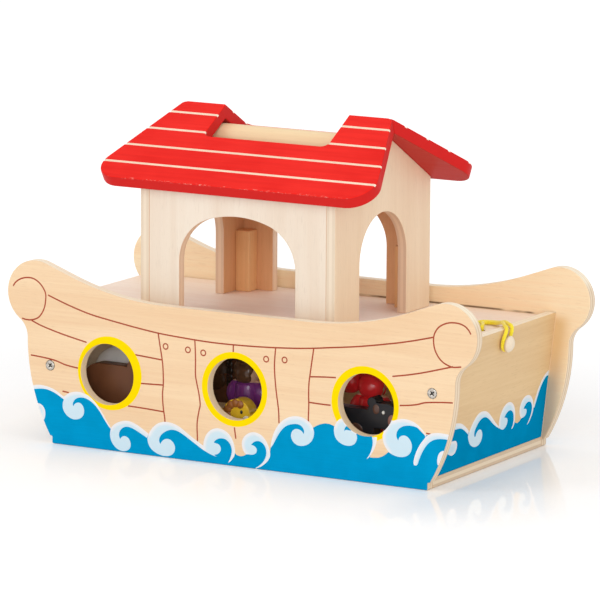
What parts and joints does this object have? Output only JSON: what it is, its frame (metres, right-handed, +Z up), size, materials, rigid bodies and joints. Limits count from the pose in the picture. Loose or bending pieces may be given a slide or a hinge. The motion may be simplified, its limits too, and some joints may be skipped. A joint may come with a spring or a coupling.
{
  "type": "noah's ark toy",
  "caption": "Wooden toy ark: a plywood hull with round portholes and scrolled ends, and a hinged deck that carries an arched house with a pitched roof and a carrying handle",
  "frame": {"origin": "middle of the footprint, on the ground under the hull", "axes": "+X along the hull from the bow to the stern, +Y across it away from the viewer, +Z up"},
  "size_m": [0.423, 0.2, 0.2683],
  "materials": {
    "hull_ply": "clear lacquered birch plywood with printed waves, planks and rings",
    "base_ply": "plain plywood",
    "deck_ply": "plain plywood",
    "house_ply": "sanded pale plywood",
    "plain_wood": "plain turned or sawn wood",
    "roof_red": "red satin paint over wood, grooves left pale",
    "steel": "plain steel",
    "elastic": "yellow braided cover over rubber",
    "grey_paint": "painted wood",
    "brown_paint": "painted wood",
    "chestnut_paint": "painted wood",
    "purple_paint": "painted wood",
    "yellow_paint": "painted wood",
    "red_paint": "painted wood",
    "dark_paint": "painted wood"
  },
  "bodies": {
    "hull": {"base_board": "base_ply", "side_panel_front": "hull_ply", "side_panel_back": "hull_ply", "bow_panel": "hull_ply", "stern_panel": "hull_ply", "deck_rests": "plain_wood", "side_screws": "steel", "base_dowels": "plain_wood", "end_dowels": "plain_wood", "pivot_pins": "steel", "latch_knob": "plain_wood"},
    "deck": {"deck_board": "deck_ply", "house_front_wall": "house_ply", "house_back_wall": "house_ply", "bow_gable": "house_ply", "stern_gable": "house_ply", "post_front_bow": "plain_wood", "post_front_stern": "plain_wood", "post_back_bow": "plain_wood", "post_back_stern": "plain_wood", "post_screws": "steel", "wall_dowels": "plain_wood", "roof_front": "roof_red", "roof_back": "roof_red", "handle_dowel": "plain_wood", "elastic_loop": "elastic", "loop_knot": "elastic"},
    "elephant": {"figure_elephant": "grey_paint"},
    "bear": {"figure_bear": "brown_paint"},
    "horse": {"figure_horse": "chestnut_paint"},
    "man": {"figure_man": "purple_paint"},
    "lion": {"figure_lion": "yellow_paint"},
    "woman": {"figure_woman": "red_paint"},
    "cow": {"figure_cow": "dark_paint"}
  },
  "joints": [
    {"name": "deck_hinge", "type": "hinge", "parent": "hull", "child": "deck", "pos_m": [-0.19, 0, 0.1025], "axis": [0, -1, 0], "range_deg": [0, 95], "deforming": ["elastic_loop"]},
    {"name": "elephant_lift", "type": "slide", "parent": "hull", "child": "elephant", "axis": [0, 0, 1], "range_m": [0, 0.015]},
    {"name": "bear_lift", "type": "slide", "parent": "hull", "child": "bear", "axis": [0, 0, 1], "range_m": [0, 0.015]},
    {"name": "horse_lift", "type": "slide", "parent": "hull", "child": "horse", "axis": [0, 0, 1], "range_m": [0, 0.015]},
    {"name": "man_lift", "type": "slide", "parent": "hull", "child": "man", "axis": [0, 0, 1], "range_m": [0, 0.015]},
    {"name": "lion_lift", "type": "slide", "parent": "hull", "child": "lion", "axis": [0, 0, 1], "range_m": [0, 0.015]},
    {"name": "woman_lift", "type": "slide", "parent": "hull", "child": "woman", "axis": [0, 0, 1], "range_m": [0, 0.015]},
    {"name": "cow_lift", "type": "slide", "parent": "hull", "child": "cow", "axis": [0, 0, 1], "range_m": [0, 0.015]}
  ]
}
